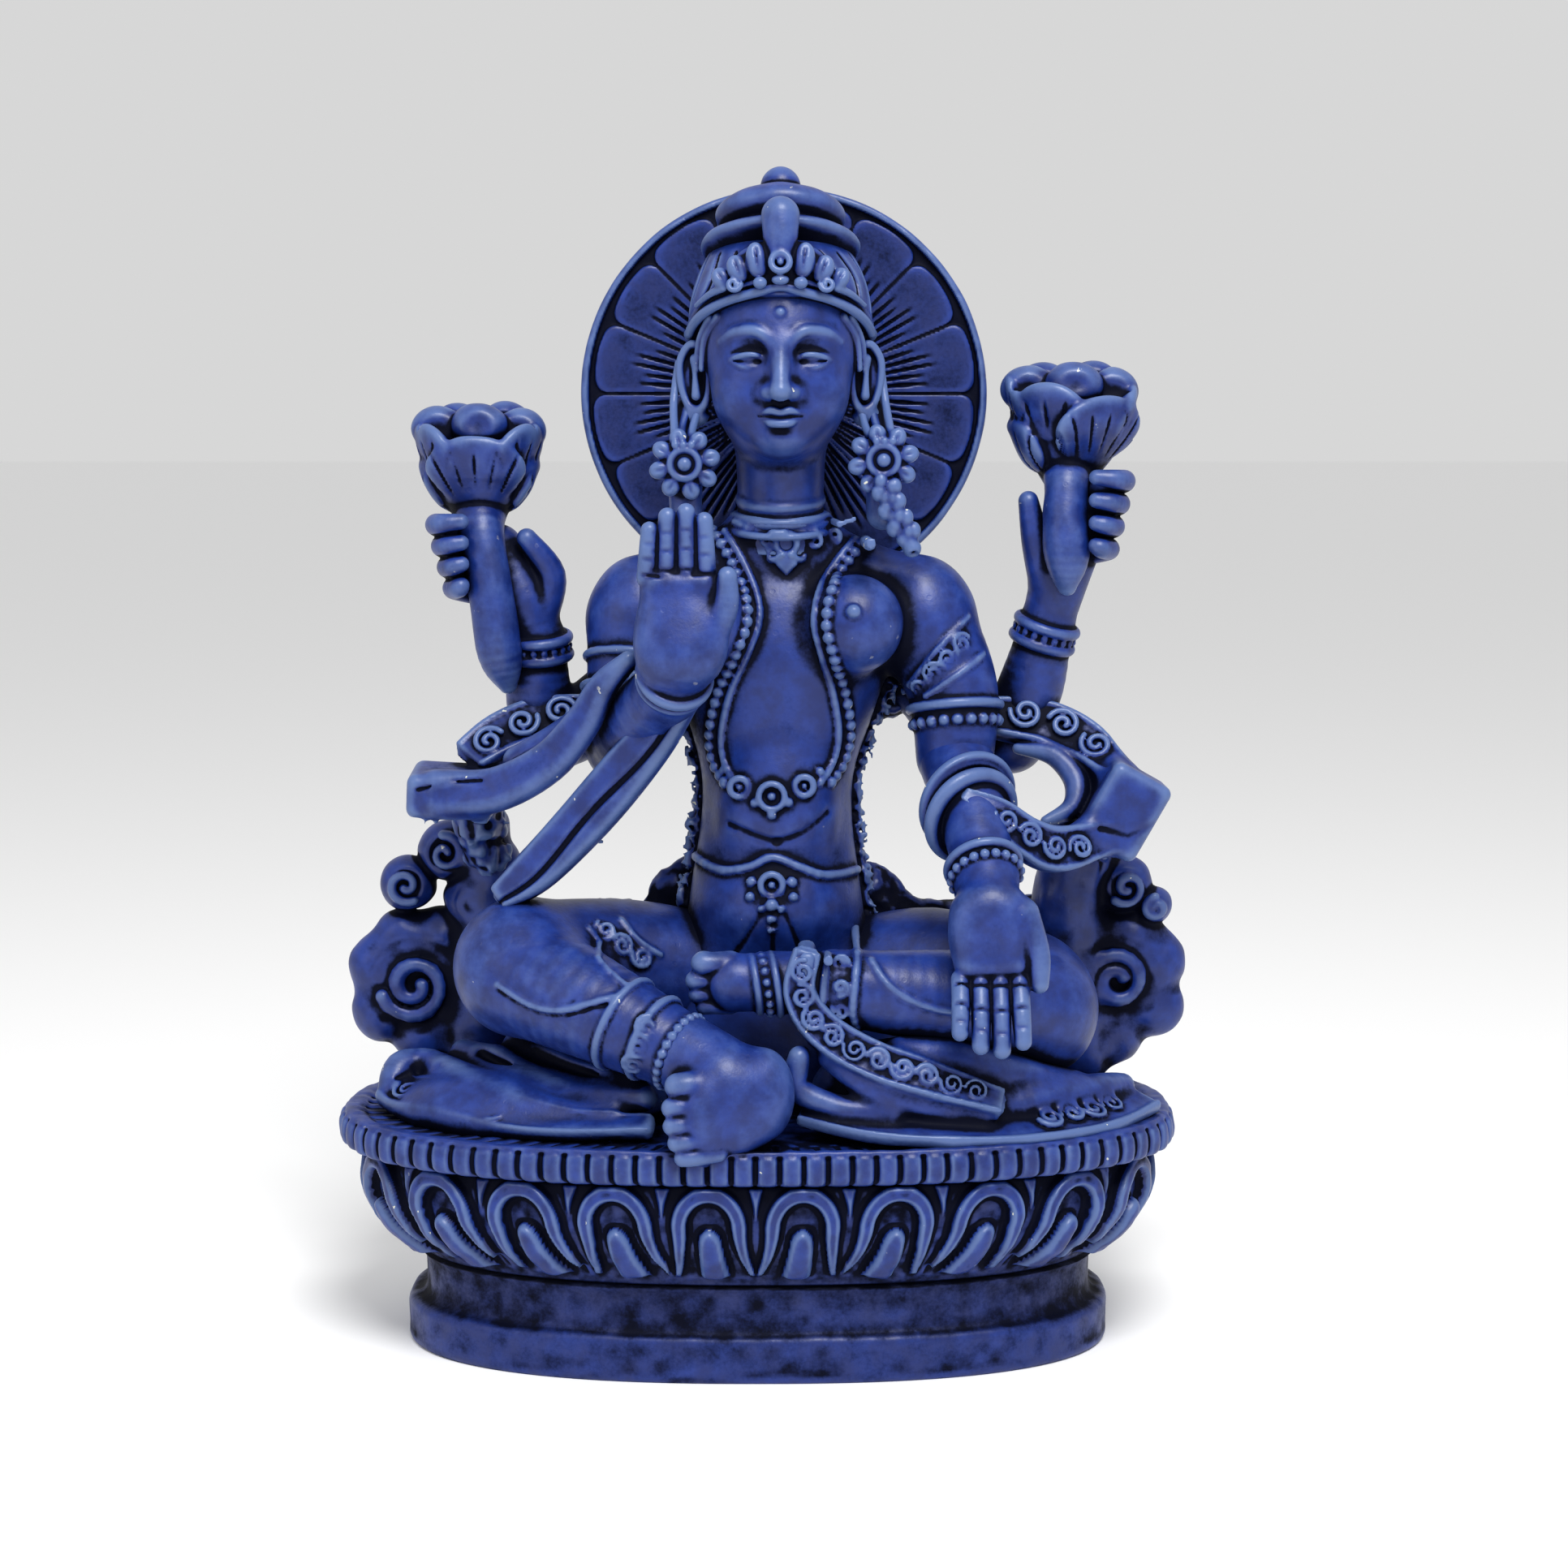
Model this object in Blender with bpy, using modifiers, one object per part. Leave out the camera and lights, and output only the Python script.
"""A seated four-armed deity statuette on an oval lotus pedestal, cast in blue resin.

Lengths are in millimetres until a mesh is made. The base is drawn from the middle of its underside.
The figure has its own units: millimetres at its design height, from the middle of the seat, with +X to
the viewer's right, +Y away from the viewer and +Z up. "right" and "left" are the deity's own sides.
"""

import math

import bmesh
import bpy
from mathutils import Matrix, Vector
from mathutils.bvhtree import BVHTree

MM = 0.001

# ---- driving dimensions -------------------------------------------------------------------------
BASE_HALF_WIDTH = 43.5
BASE_HALF_DEPTH = 23.0
OVAL_POWER = 2.4
FOOT_BAND_HEIGHT = 4.5
NECK_HEIGHT = 5.0
PETAL_BAND_HEIGHT = 10.7
RIM_HEIGHT = 3.2
FOOT_INSET = 7.0
NECK_INSET = 8.8
PETAL_COUNT = 22
PETAL_HALF_WIDTH = 4.0
PETAL_BULGE = 1.9
OVAL_SEGMENTS = 44

FIGURE_HEIGHT = 96.0
DESIGN_HEIGHT = 96.0
FIGURE_SHIFT = 2.3
HALO_RADIUS = 21.2
HALO_THICKNESS = 3.0
HALO_LIP = 1.0
HALO_FRONT = 8.6
SHOULDER_HALF_WIDTH = 14.5
KNEE_HALF_SPREAD = 26.5
SHOULDER_HEIGHT = 49.0
HEAD_MIDDLE = 0.1
HALO_MIDDLE = (0.45, 73.4)
HALO_DISH = 0.9
HALO_ROUNDING = 0.4
CLEARANCE = 0.3

# ---- settings of the modelling ------------------------------------------------------------------
LIMB_STEPS = 5
HALO_SEGMENTS = 40
RING_SEGMENTS = 16
SHARP_ANGLE = math.radians(50)
SAME_SPOT = 1e-5
MOST_CROSSINGS = 60
HEALING_CELL = 0.35
HEALED_SHARE = 0.2
THINNING_TRIES = (1.0, 1.15, 1.3, 1.5, 1.8)

# How a cut is tried: (extra clearance, whether the cutter is healed first, solver).
CUT_ATTEMPTS = (
    (0.0, False, "EXACT"),
    (0.0, False, "MANIFOLD"),
    (0.05, False, "EXACT"),
    (0.05, False, "MANIFOLD"),
    (0.15, True, "EXACT"),
    (0.15, True, "MANIFOLD"),
)
LEAST_KEPT = 0.12
VOLUME_SLACK = 0.02
PROBE_WAYS = [Vector(way).normalized() for way in ((3, 5, 7), (-5, 2, 3.3), (1, -6, -2.2))]

FIGURE_SCALE = FIGURE_HEIGHT / DESIGN_HEIGHT
SEAT_HEIGHT = FOOT_BAND_HEIGHT + NECK_HEIGHT + PETAL_BAND_HEIGHT + RIM_HEIGHT + 2 * CLEARANCE

RESIN_BLUE = (0.035, 0.055, 0.36, 1.0)
SHADED_BLUE = (0.018, 0.024, 0.16, 1.0)
WORN_BLUE = (0.08, 0.11, 0.5, 1.0)


# ---- scene and materials ------------------------------------------------------------------------
def clear_scene():
    for found in list(bpy.data.objects):
        bpy.data.objects.remove(found, do_unlink=True)


def make_material(name, colour, roughness):
    material = bpy.data.materials.new(name)
    material.use_nodes = True
    shader = material.node_tree.nodes["Principled BSDF"]
    shader.inputs["Base Color"].default_value = colour
    shader.inputs["Roughness"].default_value = roughness
    shader.inputs["Metallic"].default_value = 0.0
    return material


clear_scene()
STATUE = bpy.data.collections.new("deity_statuette")
bpy.context.scene.collection.children.link(STATUE)
CAST = make_material("cast_resin", RESIN_BLUE, 0.38)
SHADED = make_material("shaded_resin", SHADED_BLUE, 0.5)
WORN = make_material("worn_resin", WORN_BLUE, 0.34)


# ---- frames -------------------------------------------------------------------------------------
def on_figure(x, y, z):
    """A point of the figure, in millimetres from the middle of the base's underside."""
    return Vector((FIGURE_SHIFT + x * FIGURE_SCALE, y * FIGURE_SCALE, SEAT_HEIGHT + z * FIGURE_SCALE))


def to_shoulder(side, x, y, z):
    """A point that keeps its distance from one shoulder: -1 is the deity's right side, +1 the left."""
    return Vector((side * SHOULDER_HALF_WIDTH + x, y, z))


def to_knee(side, x, y, z):
    """A point that keeps its distance from one knee."""
    return Vector((side * KNEE_HALF_SPREAD + x, y, z))


def oval_point(half_width, half_depth, angle):
    """A point of a squarish oval, whose power sets how square its corners are."""
    c, s = math.cos(angle), math.sin(angle)
    share = (abs(c) ** OVAL_POWER + abs(s) ** OVAL_POWER) ** (-1 / OVAL_POWER)
    return half_width * share * c, half_depth * share * s


def even_oval_spots(half_width, half_depth, count, fine=720):
    """Evenly spaced spots round an oval, each as (x, y, heading), with one gap's middle at the front."""
    turns = [math.tau * i / fine - math.pi / 2 for i in range(fine + 1)]
    path = [Vector((*oval_point(half_width, half_depth, turn), 0)) for turn in turns]
    spots = []
    walked, wanted = 0.0, 0.5
    pitch = sum((b - a).length for a, b in zip(path, path[1:], strict=False)) / count
    for a, b in zip(path, path[1:], strict=False):
        walked += (b - a).length
        if walked >= wanted * pitch and len(spots) < count:
            spots.append((b.x, b.y, math.atan2(b.y - a.y, b.x - a.x)))
            wanted += 1.0
    return spots


# ---- shapes: unlinked meshes in metres ----------------------------------------------------------
def evaluated_mesh(obj):
    """The object's mesh with its modifiers applied, in world space. The object is removed."""
    bpy.context.view_layer.update()
    graph = bpy.context.evaluated_depsgraph_get()
    mesh = bpy.data.meshes.new_from_object(obj.evaluated_get(graph))
    mesh.transform(obj.matrix_world)
    bpy.data.objects.remove(obj)
    return mesh


def linked(name, data):
    obj = bpy.data.objects.new(name, data)
    STATUE.objects.link(obj)
    return obj


def ellipsoid(centre, radii, turn=0.0, rings=10):
    """An ellipsoid in figure units, turned by degrees about the Y axis."""
    shape = bmesh.new()
    bmesh.ops.create_uvsphere(shape, u_segments=2 * rings, v_segments=rings, radius=1.0)
    size = Matrix.Diagonal(Vector(radii) * FIGURE_SCALE * MM).to_4x4()
    place = Matrix.Translation(on_figure(*centre) * MM) @ Matrix.Rotation(math.radians(turn), 4, "Y")
    bmesh.ops.transform(shape, matrix=place @ size, verts=shape.verts)
    mesh = bpy.data.meshes.new("ellipsoid")
    shape.to_mesh(mesh)
    shape.free()
    return mesh


def block(centre, sizes, turn=0.0):
    """A box in figure units, turned by degrees about the Y axis."""
    shape = bmesh.new()
    bmesh.ops.create_cube(shape, size=1.0)
    size = Matrix.Diagonal(Vector(sizes) * FIGURE_SCALE * MM).to_4x4()
    place = Matrix.Translation(on_figure(*centre) * MM) @ Matrix.Rotation(math.radians(turn), 4, "Y")
    bmesh.ops.transform(shape, matrix=place @ size, verts=shape.verts)
    mesh = bpy.data.meshes.new("block")
    shape.to_mesh(mesh)
    shape.free()
    return mesh


def between(p, q, r, s, t):
    """The Catmull-Rom value a share t of the way from q to r, with p before them and s after them."""
    linear = (r - p) * t
    square = (2 * p - 5 * q + 4 * r - s) * t**2
    cube = (3 * q - p - 3 * r + s) * t**3
    return 0.5 * (2 * q + linear + square + cube)


def catmull_rom(points, steps):
    """A smooth run through the points, which may hold a radius as a fourth number."""
    rows = [tuple(p) for p in points]
    rows = [rows[0], *rows, rows[-1]]
    run = []
    for four in zip(rows, rows[1:], rows[2:], rows[3:], strict=False):
        for step in range(steps):
            run.append([between(*values, step / steps) for values in zip(*four, strict=True)])
    return [*run, list(rows[-1])]


def limb(*joints, steps=LIMB_STEPS, sides=3):
    """A tapering round limb through joints of (point, radius) in figure units, with ball ends."""
    run = catmull_rom([(*point, radius) for point, radius in joints], steps)
    curve = bpy.data.curves.new("limb", "CURVE")
    curve.dimensions = "3D"
    curve.bevel_depth = FIGURE_SCALE * MM
    curve.bevel_resolution = sides
    curve.use_fill_caps = True
    spline = curve.splines.new("POLY")
    spline.points.add(len(run) - 1)
    for point, (x, y, z, radius) in zip(spline.points, run, strict=True):
        point.co = (*(on_figure(x, y, z) * MM), 1.0)
        point.radius = radius
    mesh = evaluated_mesh(linked("limb", curve))
    weld(mesh)
    ends = [ellipsoid(joint[0], (joint[1],) * 3) for joint in (joints[0], joints[-1])]
    return [mesh, *ends]


def weld(mesh):
    shape = bmesh.new()
    shape.from_mesh(mesh)
    bmesh.ops.remove_doubles(shape, verts=shape.verts, dist=1e-6)
    shape.to_mesh(mesh)
    shape.free()


def ribbon(points, width, thickness, steps=4):
    """A soft band through the points, made of overlapping flat ellipsoids that lie along it."""
    run = [Vector(p) for p in catmull_rom(points, steps)]
    shapes = []
    for i, centre in enumerate(run):
        before, after = run[max(i - 1, 0)], run[min(i + 1, len(run) - 1)]
        along = after - before
        lean = -math.degrees(math.atan2(along.z, along.x))
        reach = max(along.length, width / 2)
        shapes.append(ellipsoid(centre, (reach, thickness / 2, width / 2), lean, rings=7))
    return shapes


def joined(shapes):
    """One mesh that holds every shape, as loose parts."""
    whole = bmesh.new()
    for mesh in shapes:
        whole.from_mesh(mesh)
        bpy.data.meshes.remove(mesh)
    result = bpy.data.meshes.new("joined")
    whole.to_mesh(result)
    whole.free()
    return result


def flat_list(shapes):
    flat = []
    for item in shapes:
        flat.extend(flat_list(item) if isinstance(item, list) else [item])
    return flat


# ---- pieces -------------------------------------------------------------------------------------
def add_modifier(obj, kind, **settings):
    modifier = obj.modifiers.new(kind.title(), kind)
    for key, value in settings.items():
        setattr(modifier, key, value)
    return modifier


def finish_piece(name, mesh, material):
    mesh.materials.clear()
    mesh.materials.append(material)
    mesh.name = name
    mesh.shade_smooth()
    mesh.set_sharp_from_angle(angle=SHARP_ANGLE)
    return linked(name, mesh)


def is_folded(mesh):
    """Whether two faces that share no corner cross each other."""
    shape = bmesh.new()
    shape.from_mesh(mesh)
    shape.faces.ensure_lookup_table()
    tree = BVHTree.FromBMesh(shape)
    corners = [{vertex.index for vertex in face.verts} for face in shape.faces]
    shape.free()
    return any(corners[i].isdisjoint(corners[j]) for i, j in tree.overlap(tree) if i < j)


def fused(name, shapes, faces, material=CAST, cell=0.8):
    """One skin over overlapping shapes, thinned to about this many triangles, or more where it would fold."""
    obj = linked(name, joined(flat_list(shapes)))
    add_modifier(obj, "REMESH", mode="VOXEL", voxel_size=cell * FIGURE_SCALE * MM)
    add_modifier(obj, "SMOOTH", factor=0.5, iterations=3)
    skin = evaluated_mesh(obj)
    triangles = sum(len(polygon.vertices) - 2 for polygon in skin.polygons)
    for growth in THINNING_TRIES:
        obj = linked(name, skin.copy())
        add_modifier(obj, "DECIMATE", ratio=min(1.0, growth * faces / triangles))
        thinned = evaluated_mesh(obj)
        if not is_folded(thinned):
            break
    return finish_piece(name, thinned, material)


def inflated(obj, distance, healed):
    """The piece's uncut skin, grown by a distance along its normals. A healed one has no folds."""
    cutter = linked("cutter", UNCUT[obj.name].copy())
    add_modifier(cutter, "DISPLACE", strength=distance * MM, mid_level=0.0)
    if healed:
        add_modifier(cutter, "REMESH", mode="VOXEL", voxel_size=HEALING_CELL * MM)
        add_modifier(cutter, "DECIMATE", ratio=HEALED_SHARE)
    grown = linked("cutter", evaluated_mesh(cutter))
    grown.hide_render = True
    return grown


def without_scraps(mesh):
    """Keeps the largest of the bodies that a cut may leave."""
    shape = bmesh.new()
    shape.from_mesh(mesh)
    bmesh.ops.triangulate(shape, faces=shape.faces)
    unseen = set(shape.verts)
    bodies = []
    while unseen:
        body, edge_of_search = set(), [unseen.pop()]
        while edge_of_search:
            vertex = edge_of_search.pop()
            body.add(vertex)
            for link in vertex.link_edges:
                other = link.other_vert(vertex)
                if other in unseen:
                    unseen.remove(other)
                    edge_of_search.append(other)
        bodies.append(body)
    bodies.sort(key=len)
    for body in bodies[:-1]:
        bmesh.ops.delete(shape, geom=list(body), context="VERTS")
    shape.to_mesh(mesh)
    shape.free()
    return mesh


def box_of(obj):
    spots = [vertex.co for vertex in obj.data.vertices]
    return [(min(p[axis] for p in spots), max(p[axis] for p in spots)) for axis in range(3)]


def meet(one, other):
    room = 2 * CLEARANCE * MM
    pairs = zip(box_of(one), box_of(other), strict=True)
    return all(a[0] - room < b[1] and b[0] - room < a[1] for a, b in pairs)


def measure(mesh):
    """The volume that a mesh encloses, and whether every edge lies between two faces."""
    shape = bmesh.new()
    shape.from_mesh(mesh)
    volume = shape.calc_volume(signed=True)
    closed = bool(shape.faces) and all(len(edge.link_faces) == 2 for edge in shape.edges)
    shape.free()
    return volume, closed


def is_inside(tree, spot):
    """Whether a spot lies inside a closed skin: rays out of it cross the skin an odd number of times."""
    for way in PROBE_WAYS:
        crossings, start = 0, Vector(spot)
        while crossings < MOST_CROSSINGS:
            hit, _, _, _ = tree.ray_cast(start, way)
            if hit is None:
                break
            crossings += 1
            start = hit + way * 1e-7
        if crossings % 2 == 0:
            return False
    return True


def interlock(mesh, other):
    """Whether any corner of either skin lies inside the other one."""
    for skin, corners in ((mesh, other), (other, mesh)):
        shape = bmesh.new()
        shape.from_mesh(skin)
        tree = BVHTree.FromBMesh(shape)
        shape.free()
        if any(is_inside(tree, vertex.co) for vertex in corners.vertices):
            return True
    return False


def cut_clear(piece, other):
    """The piece less the other one, grown by the clearance. An unsound cut is tried another way."""
    name, material = piece.name, piece.data.materials[0]
    before, kept = measure(piece.data)[0], piece.data.copy()
    for extra, healed, solver in CUT_ATTEMPTS:
        cutter = inflated(other, CLEARANCE + extra, healed)
        room = measure(cutter.data)[0]
        add_modifier(piece, "BOOLEAN", operation="DIFFERENCE", solver=solver, object=cutter)
        mesh = without_scraps(evaluated_mesh(piece))
        bpy.data.objects.remove(cutter)
        after, closed = measure(mesh)
        least = max(LEAST_KEPT * before, before - (1 + VOLUME_SLACK) * room)
        sound = closed and least < after < (1 + VOLUME_SLACK) * before
        if sound and not interlock(mesh, other.data):
            break
        mesh = kept.copy()
        piece = linked(name, kept.copy())
    else:
        bpy.data.objects.remove(piece)
    return finish_piece(name, mesh, material)


# The skin of each piece before anything was cut from it: it has no thin edges, so it grows evenly.
UNCUT = {}


def stacked(piece):
    """The piece as it is: its own height already leaves the clearance to the piece under it."""
    UNCUT[piece.name] = piece.data.copy()
    return piece


def seated(piece):
    """The piece cut back, with clearance, wherever it would meet a piece that is already there."""
    stacked(piece)
    others = [found for found in STATUE.objects if found != piece and meet(piece, found)]
    for other in others:
        piece = cut_clear(piece, other)
    return piece


def turned_round(outline, count):
    """The mesh that an outline sweeps out as it turns once about the Z axis. The outline is removed."""
    sweep = {"steps": count, "render_steps": count}
    add_modifier(outline, "SCREW", use_merge_vertices=True, merge_threshold=SAME_SPOT, **sweep)
    return evaluated_mesh(outline)


def oval_drum(name, profile, material=CAST):
    """A squarish oval drum. Its profile runs down its outer side, as (height, inset) pairs."""
    top, bottom = profile[0][0], profile[-1][0]
    outline = [(top, BASE_HALF_WIDTH), *profile, (bottom, BASE_HALF_WIDTH)]
    mesh = bpy.data.meshes.new(name)
    points = [((BASE_HALF_WIDTH - inset) * MM, 0.0, height * MM) for height, inset in outline]
    mesh.from_pydata(points, [(i, i + 1) for i in range(len(points) - 1)], [])
    turned = turned_round(linked(name, mesh), OVAL_SEGMENTS)
    depth_share = BASE_HALF_DEPTH / BASE_HALF_WIDTH
    for vertex in turned.vertices:
        radius = math.hypot(vertex.co.x, vertex.co.y)
        if radius > 0:
            angle = math.atan2(vertex.co.y, vertex.co.x)
            vertex.co.x, vertex.co.y = oval_point(radius, radius * depth_share, angle)
    return finish_piece(name, turned, material)


def ring(name, centre, axis, radius, thickness, material=WORN, tall=1.0):
    """A round band about an axis, in figure units. tall stretches its section along the axis."""
    shape = bmesh.new()
    mesh = bpy.data.meshes.new(name)
    obj = linked(name, mesh)
    bmesh.ops.create_circle(shape, segments=6, radius=thickness * FIGURE_SCALE * MM, cap_ends=False)
    place = Matrix.Translation((radius * FIGURE_SCALE * MM, 0, 0)) @ Matrix.Rotation(math.pi / 2, 4, "X")
    stretch = Matrix.Diagonal((1, tall, 1, 1))
    bmesh.ops.transform(shape, matrix=place @ stretch, verts=shape.verts)
    shape.to_mesh(mesh)
    shape.free()
    turned = turned_round(obj, RING_SEGMENTS)
    lean = Vector((0, 0, 1)).rotation_difference(Vector(axis).normalized()).to_matrix().to_4x4()
    turned.transform(Matrix.Translation(on_figure(*centre) * MM) @ lean)
    outward(turned)
    return finish_piece(name, turned, material)


def outward(mesh):
    shape = bmesh.new()
    shape.from_mesh(mesh)
    bmesh.ops.recalc_face_normals(shape, faces=shape.faces)
    shape.to_mesh(mesh)
    shape.free()


# ---- base ---------------------------------------------------------------------------------------
def make_foot():
    neck_top = FOOT_BAND_HEIGHT + NECK_HEIGHT
    step = FOOT_BAND_HEIGHT + 0.9
    return oval_drum(
        "foot_plinth",
        [
            (neck_top, NECK_INSET - 0.9),
            (neck_top - 1.6, NECK_INSET - 0.2),
            (step + 0.6, NECK_INSET),
            (step, FOOT_INSET + 1.1),
            (FOOT_BAND_HEIGHT, FOOT_INSET + 0.3),
            (FOOT_BAND_HEIGHT - 0.6, FOOT_INSET),
            (0.6, FOOT_INSET),
            (0.0, FOOT_INSET + 0.5),
        ],
    )


def make_pedestal():
    """The drum under the rim, with a ring of round petals that stand out of it."""
    low = FOOT_BAND_HEIGHT + NECK_HEIGHT + CLEARANCE
    high = low + PETAL_BAND_HEIGHT
    drum = oval_drum(
        "lotus_pedestal",
        [
            (high, 3.0),
            (high - 3.2, 3.4),
            (low + 4.2, 3.8),
            (low + 1.4, 6.0),
            (low, 7.8),
        ],
    )
    mid = low + 0.5 * PETAL_BAND_HEIGHT
    reach = BASE_HALF_WIDTH - 4.0
    for x, y, heading in even_oval_spots(reach, reach * BASE_HALF_DEPTH / BASE_HALF_WIDTH, PETAL_COUNT):
        petal = bmesh.new()
        bmesh.ops.create_uvsphere(petal, u_segments=8, v_segments=6, radius=1.0)
        size = Matrix.Diagonal((PETAL_HALF_WIDTH, PETAL_BULGE, 0.47 * PETAL_BAND_HEIGHT, 1))
        place = Matrix.Translation((x, y, mid)) @ Matrix.Rotation(heading, 4, "Z")
        bmesh.ops.transform(petal, matrix=Matrix.Scale(MM, 4) @ place @ size, verts=petal.verts)
        mesh = bpy.data.meshes.new("petal")
        petal.to_mesh(mesh)
        petal.free()
        tool = linked("petal", mesh)
        tool.hide_render = True
        add_modifier(drum, "BOOLEAN", operation="UNION", solver="EXACT", object=tool)
    mesh = evaluated_mesh(drum)
    for tool in [found for found in STATUE.objects if found.hide_render]:
        bpy.data.objects.remove(tool)
    return finish_piece("lotus_pedestal", mesh, CAST)


def make_rim():
    high = SEAT_HEIGHT
    low = high - RIM_HEIGHT
    return oval_drum(
        "beaded_rim",
        [
            (high, 1.2),
            (high - 0.3, 0.4),
            (high - 0.5 * RIM_HEIGHT, 0.0),
            (low + 0.3, 0.4),
            (low, 1.2),
        ],
        WORN,
    )


# ---- body ---------------------------------------------------------------------------------------
def make_torso():
    shoulders = [ellipsoid(to_shoulder(side, 0, 2.5, 50.6), (5.6, 5.4, 5.8)) for side in (-1, 1)]
    ends = [(to_shoulder(side, 0, 2.5, 52.5), 3.6) for side in (-1, 1)]
    collar_bones = limb(ends[0], ((0.1, 2.5, 55.5), 4.6), ends[1])
    breasts = [ellipsoid((side * 7.0, -3.4, 49.6), (4.9, 4.6, 5.2)) for side in (-1, 1)]
    trunk = [
        ellipsoid((0.0, 3.5, 9.5), (11.5, 7.5, 10.0)),
        ellipsoid((-0.2, 2.6, 22.5), (9.2, 7.0, 9.5)),
        ellipsoid((-0.2, 2.4, 32.0), (7.9, 6.0, 9.5)),
        ellipsoid((0.0, 2.4, 42.5), (10.8, 7.0, 10.5)),
        ellipsoid((0.0, 2.5, 49.5), (13.0, 6.6, 7.0)),
    ]
    seated(fused("torso", [trunk, shoulders, breasts, collar_bones], 800, cell=0.9))


def make_head():
    ears = [ellipsoid((HEAD_MIDDLE + side * 8.6, 0.6, 75.5), (1.2, 2.2, 4.6)) for side in (-1, 1)]
    neck_rows = ((2.0, 58.5, 5.0), (1.4, 63.0, 4.6), (1.0, 69.0, 4.7))
    neck = [((HEAD_MIDDLE, y, z), radius) for y, z, radius in neck_rows]
    piece = fused(
        "head",
        [
            limb(*neck),
            ellipsoid((HEAD_MIDDLE, 0.2, 80.0), (8.4, 8.4, 8.4)),
            ellipsoid((HEAD_MIDDLE, -2.0, 75.6), (7.2, 7.0, 8.4)),
            ellipsoid((HEAD_MIDDLE, -8.6, 74.4), (1.2, 1.8, 2.4)),
            ears,
        ],
        640,
        cell=0.7,
    )
    seated(piece)


def make_tiara():
    leaves = [ellipsoid((HEAD_MIDDLE + x, -8.6, 86.6), (1.9, 1.5, 2.6)) for x in (-3.0, 0.0, 3.0)]
    band = ellipsoid((HEAD_MIDDLE, 0.2, 83.8), (9.6, 9.6, 4.6))
    peak = ellipsoid((HEAD_MIDDLE, -7.4, 90.0), (1.6, 1.7, 3.0))
    piece = fused(
        "tiara",
        [band, leaves, peak],
        480,
        WORN,
        cell=0.7,
    )
    seated(piece)


def make_topknot():
    piece = fused(
        "topknot",
        [
            ellipsoid((HEAD_MIDDLE, 1.2, 87.6), (8.2, 7.6, 2.3)),
            ellipsoid((HEAD_MIDDLE, 1.2, 91.2), (6.8, 6.4, 3.1)),
            limb(((HEAD_MIDDLE, 1.2, 92.0), 2.1), ((HEAD_MIDDLE, 1.2, 94.1), 1.9), steps=2),
        ],
        360,
        cell=0.6,
    )
    seated(piece)


def make_halo():
    """A round plate with a raised lip, dished between the lip and the middle."""
    centre = on_figure(HALO_MIDDLE[0], HALO_FRONT, HALO_MIDDLE[1])
    radius, thick = HALO_RADIUS, HALO_THICKNESS
    outline = [
        (0.0, HALO_DISH),
        (radius - 2 * HALO_LIP, HALO_DISH),
        (radius - 1.4 * HALO_LIP, 0.0),
        (radius - 0.3 * HALO_LIP, 0.0),
        (radius, HALO_ROUNDING),
        (radius, thick - HALO_ROUNDING),
        (radius - HALO_ROUNDING, thick),
        (0.0, thick),
    ]
    mesh = bpy.data.meshes.new("halo")
    points = [(reach * MM, 0.0, -depth * MM) for reach, depth in outline]
    mesh.from_pydata(points, [(i, i + 1) for i in range(len(points) - 1)], [])
    turned = turned_round(linked("halo", mesh), HALO_SEGMENTS)
    turned.transform(Matrix.Translation(centre * MM) @ Matrix.Rotation(math.pi / 2, 4, "X"))
    outward(turned)
    seated(finish_piece("halo", turned, SHADED))


def make_back_support():
    piece = fused(
        "back_support",
        [
            block((0.0, 10.2, 9.0), (64.0, 3.6, 18.0)),
            ellipsoid((-30.0, 10.2, 18.0), (6.0, 1.8, 4.0)),
            ellipsoid((30.0, 10.2, 18.0), (6.0, 1.8, 4.0)),
            limb(((0.2, 10.0, 8.0), 5.0), ((0.2, 10.0, 40.0), 4.2), ((0.3, 10.4, 60.0), 4.2)),
        ],
        330,
        SHADED,
        cell=0.9,
    )
    seated(piece)


# ---- front arms ---------------------------------------------------------------------------------
RIGHT_SHOULDER = to_shoulder(-1, -0.2, 2.5, SHOULDER_HEIGHT)
RIGHT_ELBOW = to_shoulder(-1, -1.0, -1.0, 38.0)
RIGHT_WRIST = to_shoulder(-1, 4.1, -14.0, 45.0)
LEFT_SHOULDER = to_shoulder(1, 0.6, 2.5, SHOULDER_HEIGHT)
LEFT_ELBOW = to_shoulder(1, 3.6, -0.6, 36.5)
LEFT_WRIST = to_shoulder(1, 5.8, -12.6, 26.0)


def make_upper_arm(name, shoulder, elbow):
    middle = (shoulder + elbow) / 2
    return seated(fused(name, [limb((shoulder, 5.3), (middle, 4.6), (elbow, 4.0))], 320))


def make_forearm(name, elbow, wrist):
    middle = (elbow + wrist) / 2
    return seated(fused(name, [limb((elbow, 3.9), (middle, 3.7), (wrist, 2.9))], 240))


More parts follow.
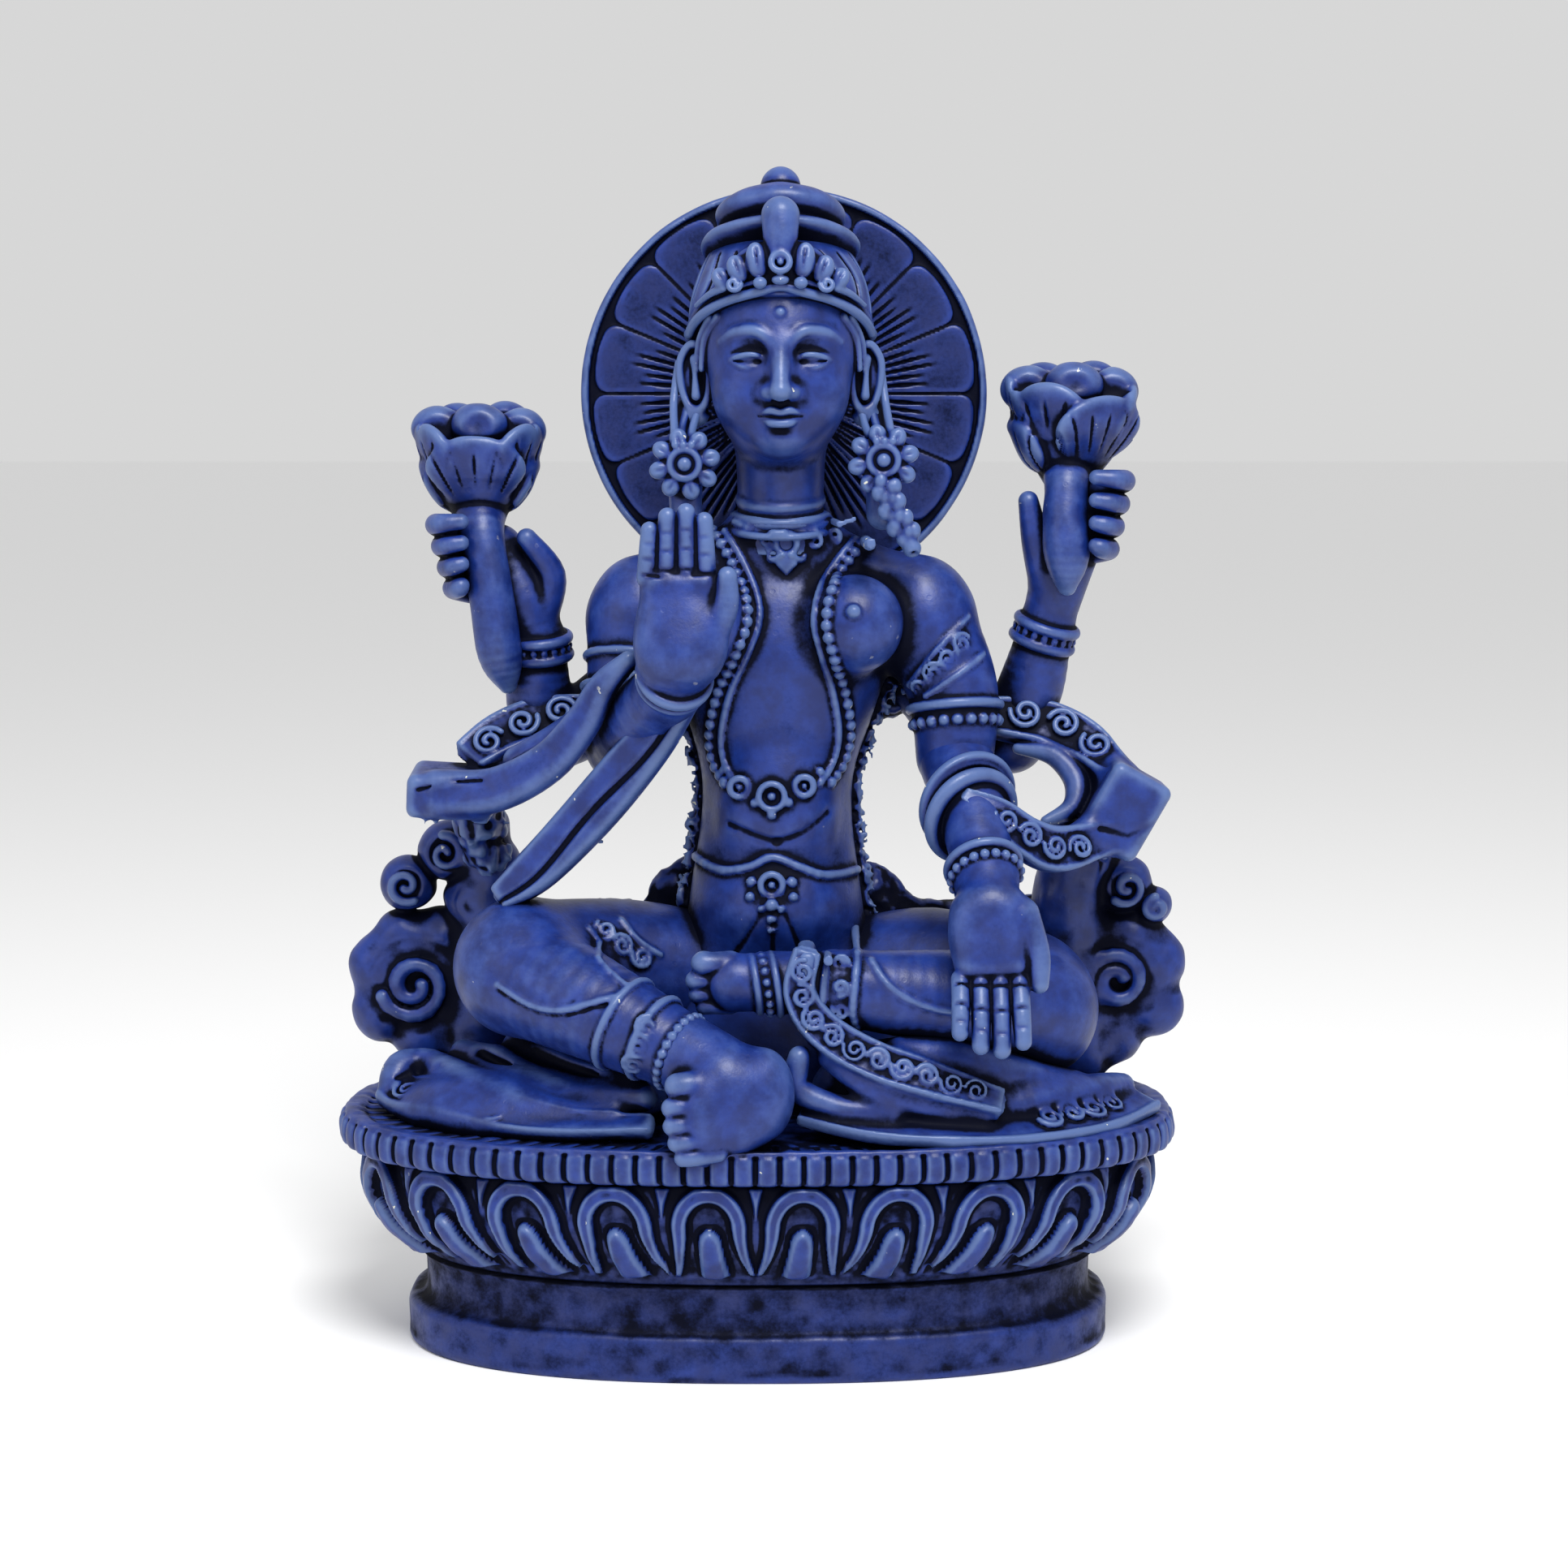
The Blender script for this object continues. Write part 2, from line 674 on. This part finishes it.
def make_hand(name, wrist, reach, across, palm_side, curl):
    """An open hand: reach points along the fingers, across to the thumb, palm_side out of the palm."""
    reach, across, palm_side = (Vector(v).normalized() for v in (reach, across, palm_side))

    def at(a, r, p):
        return wrist + across * a + reach * r + palm_side * p

    shapes = [
        limb((at(0, -1.0, 0), 2.7), (at(0, 2.0, 0), 2.9), steps=2),
        limb((at(-1.8, 3.2, 0), 2.2), (at(-1.8, 8.0, 0), 1.9), steps=3),
        limb((at(1.3, 3.2, 0), 2.3), (at(1.3, 8.0, 0), 1.9), steps=3),
        limb((at(2.6, 3.6, 0.3), 1.9), (at(4.8, 6.4, 0.9), 1.5), (at(5.0, 10.2, 0.8), 1.1), steps=4),
    ]
    knuckles = 8.2
    for offset, length in ((-3.0, 6.4), (-1.1, 8.0), (0.9, 8.6), (2.7, 7.4)):
        root = at(offset, knuckles, 0)
        middle = at(offset, knuckles + 0.5 * length, 0.3 * curl)
        tip = at(offset, knuckles + length, curl)
        shapes.append(limb((root, 1.15), (middle, 1.05), (tip, 0.85), steps=3))
    return seated(fused(name, shapes, 360, WORN, cell=0.5))


def make_front_arms():
    make_upper_arm("right_upper_arm", RIGHT_SHOULDER, RIGHT_ELBOW)
    make_forearm("right_forearm", RIGHT_ELBOW, RIGHT_WRIST)
    raised = RIGHT_WRIST + Vector((0.0, -1.6, 1.6))
    make_hand("right_hand", raised, (0.04, -0.14, 1.0), (1, 0, 0), (0, -1, 0), 0.0)
    make_upper_arm("left_upper_arm", LEFT_SHOULDER, LEFT_ELBOW)
    make_forearm("left_forearm", LEFT_ELBOW, LEFT_WRIST)
    lowered = LEFT_WRIST + Vector((0.0, -1.4, -1.4))
    make_hand("left_hand", lowered, (0.05, -0.5, -1.0), (1, 0, 0), (0, -1, 0.3), -0.8)


# ---- rear arms and their flowers ----------------------------------------------------------------
def make_rear_arm(name, side):
    """An upraised arm behind the front one, whose fist closes on a flower's stem."""
    shoulder = to_shoulder(side, -side * 2.0, 8.6, 46.0)
    elbow = to_shoulder(side, side * 9.8, 6.6, 38.0)
    if side < 0:
        wrist, grip = to_shoulder(side, -10.8, 4.6, 48.5), to_shoulder(side, -13.8, 3.6, 57.0)
    else:
        wrist, grip = to_shoulder(side, 13.0, 4.6, 48.5), to_shoulder(side, 17.6, 3.6, 60.0)
    fingers = [
        limb(
            (grip + Vector((side * 3.4, 1.2, z)), 1.25),
            (grip + Vector((side * 4.0, -1.2, z)), 1.2),
            (grip + Vector((side * 1.6, -2.4, z + 0.4)), 1.05),
            steps=3,
        )
        for z in (-3.6, -1.2, 1.2, 3.6)
    ]
    thumb_root = wrist + Vector((-side * 0.6, -0.6, 2.0))
    thumb_tip = grip + Vector((-side * 3.4, -0.8, 2.2))
    palm_low = grip + Vector((side * 0.8, 1.6, -2.0))
    palm_high = grip + Vector((side * 1.4, 1.8, 2.6))
    arm = fused(
        name,
        [
            limb((shoulder, 3.6), (elbow, 3.2), steps=4),
            limb((elbow, 3.2), (wrist, 2.7), steps=4),
            limb((wrist, 2.6), (palm_low, 2.6), (palm_high, 2.4), steps=4),
            fingers,
            limb((thumb_root, 1.7), (thumb_tip, 1.25), steps=3),
        ],
        440,
        SHADED,
        cell=0.6,
    )
    return seated(arm)


def make_flower(name, cup, stem, tail):
    """An open lotus: a cup of broad petals on a stem that runs down through the fist."""
    petals = []
    for index in range(8):
        angle = math.tau * index / 8
        out = Vector((math.cos(angle), 0.8 * math.sin(angle), 0))
        spot = Vector(cup) + out * 4.9 + Vector((0, 0, 1.6))
        petals.append(ellipsoid(spot, (3.0, 2.6, 2.9)))
    cup, stem, tail = Vector(cup), Vector(stem), Vector(tail)
    neck = (cup + Vector((0.3, 0, -1.5)), 4.6)
    flower = fused(
        name,
        [
            limb((tail, 1.5), ((stem + tail) / 2, 2.0), (stem, 2.0), neck),
            petals,
            ellipsoid(cup + Vector((0, 0, 1.2)), (4.8, 4.0, 3.2)),
        ],
        440,
        cell=0.7,
    )
    return seated(flower)


# ---- legs ---------------------------------------------------------------------------------------
def make_legs():
    right_knee, left_knee = to_knee(-1, 0, -6.2, 14.3), to_knee(1, 0, -4.6, 11.9)
    right = fused(
        "right_leg",
        [
            limb(((-8.0, 3.5, 12.5), 6.6), ((-16.5, 0.5, 14.5), 6.6), (right_knee, 6.2)),
            limb((right_knee, 6.2), ((-18.0, -12.4, 11.8), 5.3), ((-9.6, -16.6, 9.4), 3.8)),
        ],
        480,
        WORN,
        cell=0.9,
    )
    seated(right)
    shin = [((17.0, -10.0, 12.2), 5.2), ((8.0, -12.6, 13.4), 4.6), ((3.2, -13.0, 14.0), 4.0)]
    left = fused(
        "left_leg",
        [
            limb(((8.0, 3.5, 11.5), 6.6), ((17.0, 1.5, 13.2), 6.4), (left_knee, 5.9)),
            limb((left_knee, 5.9), *shin),
        ],
        480,
        cell=0.9,
    )
    seated(left)


def make_feet():
    toes = [
        ellipsoid((-9.8, -22.6 - 0.45 * index, 7.6 - 2.0 * index), (1.9 - 0.16 * index, 1.7, 1.3))
        for index in range(5)
    ]
    right = fused(
        "right_foot",
        [
            limb(((-8.8, -17.6, 8.8), 3.6), ((-4.6, -19.6, 6.6), 4.0), steps=3),
            ellipsoid((-1.8, -19.8, 4.4), (3.6, 3.6, 4.8)),
            ellipsoid((-5.4, -21.4, 4.2), (4.8, 3.6, 5.0)),
            toes,
        ],
        460,
        WORN,
        cell=0.7,
    )
    seated(right)
    left = fused(
        "left_foot",
        [
            limb(((3.0, -12.8, 14.2), 3.6), ((-2.0, -12.6, 14.6), 3.3), ((-6.4, -12.6, 15.2), 2.4)),
            ellipsoid((-8.2, -12.8, 15.6), (1.6, 1.8, 1.8)),
        ],
        230,
        cell=0.7,
    )
    seated(left)


# ---- drapery ------------------------------------------------------------------------------------
def make_right_scarf():
    over_arm = [(-1.7, -10.0, 43.6), (-4.9, -8.6, 38.6), (-9.5, -6.6, 34.6), (-15.5, -4.4, 32.6)]
    behind_arm = [(-6.0, 2.0, 39.6), (-12.5, 1.6, 38.4), (-17.0, 0.4, 35.6)]
    fold = fused(
        "right_scarf_fold",
        [
            ribbon([to_shoulder(-1, *point) for point in over_arm], 4.6, 3.6),
            ribbon([to_shoulder(-1, *point) for point in behind_arm], 4.6, 5.0),
            block(to_shoulder(-1, -19.1, -1.8, 32.4), (7.2, 6.4, 4.8), 8.0),
            ellipsoid(to_shoulder(-1, -12.0, -1.5, 35.6), (5.0, 4.6, 2.4)),
        ],
        480,
        cell=0.7,
    )
    seated(fold)
    hanging = [
        (4.9, -11.0, 40.6),
        (1.5, -9.6, 35.6),
        (-3.1, -8.0, 30.6),
        (-7.9, -6.6, 26.0),
        (-11.9, -5.4, 22.4),
    ]
    run = [to_shoulder(-1, *point) for point in hanging]
    seated(fused("right_scarf_tail", [ribbon(run, 5.2, 3.2)], 280, cell=0.7))


def make_left_scarf():
    over_arm = [
        (9.1, 1.0, 38.4),
        (14.1, 0.6, 38.0),
        (18.9, -1.4, 35.8),
        (22.1, -3.4, 32.4),
        (20.9, -5.6, 28.2),
    ]
    from_wrist = [(10.1, -6.6, 29.4), (14.9, -7.0, 26.8), (19.5, -6.6, 26.4)]
    fold = fused(
        "left_scarf_fold",
        [
            ribbon([to_shoulder(1, *point) for point in over_arm], 6.0, 4.6),
            ribbon([to_shoulder(1, *point) for point in from_wrist], 4.6, 3.6),
            ellipsoid(to_shoulder(1, 20.5, -3.6, 30.8), (5.2, 3.6, 4.6)),
        ],
        480,
        cell=0.7,
    )
    seated(fold)


def make_seat_cloths():
    spread = [(-38.4, -3.0, 1.8), (-32.0, -6.0, 2.2), (-26.0, -10.0, 1.6), (-17.0, -13.6, 1.6)]
    right = fused(
        "right_seat_cloth",
        [
            ribbon(spread, 3.6, 7.0),
            ellipsoid((-24.0, -7.0, 2.0), (9.0, 5.6, 2.6)),
        ],
        280,
        cell=0.8,
    )
    seated(right)
    hem = [
        (1.4, -15.2, 14.0),
        (2.6, -15.0, 9.6),
        (7.6, -15.6, 5.8),
        (15.0, -16.4, 2.8),
        (23.0, -16.0, 1.8),
    ]
    left = fused(
        "left_seat_cloth",
        [
            ribbon(hem, 4.4, 3.4),
            ribbon([(22.0, -14.6, 1.8), (29.0, -11.4, 2.2), (35.0, -7.0, 2.0)], 3.6, 6.0),
            ellipsoid((16.0, -13.0, 2.6), (9.0, 4.6, 3.0)),
        ],
        360,
        cell=0.8,
    )
    seated(left)


def make_scroll(name, side):
    """A rolled end of the scarf beside the knee: a thick coil with lumps of cloth over it."""
    coil_x, top_x = (-38.6, -35.0) if side < 0 else (35.6, 33.4)
    rise = [
        ((coil_x - side * 2.0, 8.2, 16.0), 4.4),
        ((top_x, 8.0, 22.6), 4.2),
        ((top_x - side * 1.0, 5.0, 28.0), 3.0),
    ]
    scroll = fused(
        name,
        [
            ellipsoid((coil_x, 8.0, 10.8), (6.6, 3.4, 7.4)),
            ellipsoid((coil_x, 5.0, 11.0), (4.4, 2.0, 4.6)),
            ellipsoid((side * 33.0, 8.4, 6.4), (8.0, 3.4, 6.8)),
            limb(*rise),
        ],
        360,
        SHADED,
        cell=0.8,
    )
    seated(scroll)


# ---- ornaments ----------------------------------------------------------------------------------
def make_rosette(name, centre, count=8):
    """A round ear ornament: a boss in a ring of beads."""
    turns = [math.tau * i / count for i in range(count)]
    spots = [Vector(centre) + Vector((2.0 * math.cos(turn), 0.3, 2.0 * math.sin(turn))) for turn in turns]
    beads = [ellipsoid(spot, (0.95, 0.9, 0.95), rings=6) for spot in spots]
    boss = [ellipsoid(centre, (2.2, 1.0, 2.2)), ellipsoid(centre, (1.1, 1.6, 1.1))]
    seated(fused(name, [beads, boss], 220, WORN, 0.4))


def make_hair_strand(name, side, rosette_spot):
    """A lock of hair that hangs from behind the ear lobe to the ear ornament."""
    end = Vector(rosette_spot) + Vector((0, 1.6, 1.6))
    joints = [((side * 8.6, 1.6, 73.5), 1.3), ((side * 9.3, -0.6, 70.6), 1.2), (end, 1.2)]
    seated(fused(name, [limb(*joints, steps=3)], 180, CAST, 0.4))


def make_braid(name, side):
    spine = [(side * 10.4, -4.2, 63.0), (side * 11.0, -4.4, 60.4), (side * 12.4, -4.0, 57.6)]
    joints = [(point, 1.4 - 0.15 * i) for i, point in enumerate(spine)]
    seated(fused(name, [limb(*joints, steps=3)], 110, WORN, 0.4))


def make_cuffs():
    """Bangles and bands. Each is a ring about a limb, trimmed where the limb passes through it."""
    right_axis = RIGHT_WRIST - RIGHT_ELBOW
    left_axis = LEFT_WRIST - LEFT_ELBOW
    seated(ring("right_bracelet", RIGHT_WRIST - right_axis.normalized() * 0.6, right_axis, 3.4, 0.9))
    seated(ring("left_bracelet", LEFT_WRIST - left_axis.normalized() * 0.6, left_axis, 3.4, 0.9))
    right_middle = (RIGHT_ELBOW + RIGHT_SHOULDER) / 2
    left_middle = (LEFT_ELBOW + LEFT_SHOULDER) / 2
    seated(ring("right_armlet", right_middle, RIGHT_SHOULDER - RIGHT_ELBOW, 4.8, 0.9))
    seated(ring("left_armlet", left_middle - Vector((0, 0, 4.0)), LEFT_SHOULDER - LEFT_ELBOW, 4.6, 0.9))
    seated(ring("right_anklet", (-9.4, -16.6, 9.4), (8.4, -4.2, -2.4), 4.2, 0.9))
    seated(ring("left_cuff", (4.2, -12.9, 13.8), (1, 0.1, -0.1), 4.7, 1.0))


# ---- assembly: each piece is trimmed to seat on those made before it ----------------------------
def build():
    stacked(make_foot())
    stacked(make_pedestal())
    stacked(make_rim())
    make_torso()
    make_back_support()
    make_tiara()
    make_topknot()
    make_head()
    make_halo()
    make_legs()
    make_feet()
    make_front_arms()
    make_flower("right_lotus", (-31.0, 3.6, 66.6), (-30.0, 1.0, 60.0), (-27.9, 0.4, 44.6))
    make_flower("left_lotus", (29.8, 3.8, 71.0), (29.0, 1.2, 65.0), (29.4, 0.2, 53.8))
    make_rear_arm("right_rear_arm", -1)
    make_rear_arm("left_rear_arm", 1)
    make_right_scarf()
    make_left_scarf()
    make_seat_cloths()
    make_scroll("right_scroll", -1)
    make_scroll("left_scroll", 1)
    for side_name, side, spot in (("right", -1, (-9.4, -4.4, 66.4)), ("left", 1, (10.0, -4.4, 66.8))):
        make_rosette(side_name + "_ear_rosette", spot)
        make_hair_strand(side_name + "_hair_strand", side, spot)
    make_braid("left_braid", 1)
    seated(ring("belt", (-0.2, 2.4, 25.2), (0, 0.0, 1), 8.6, 1.1))
    seated(ring("collar", (0.1, 1.8, 60.4), (0, -0.25, 1), 6.0, 1.0))
    make_cuffs()


build()
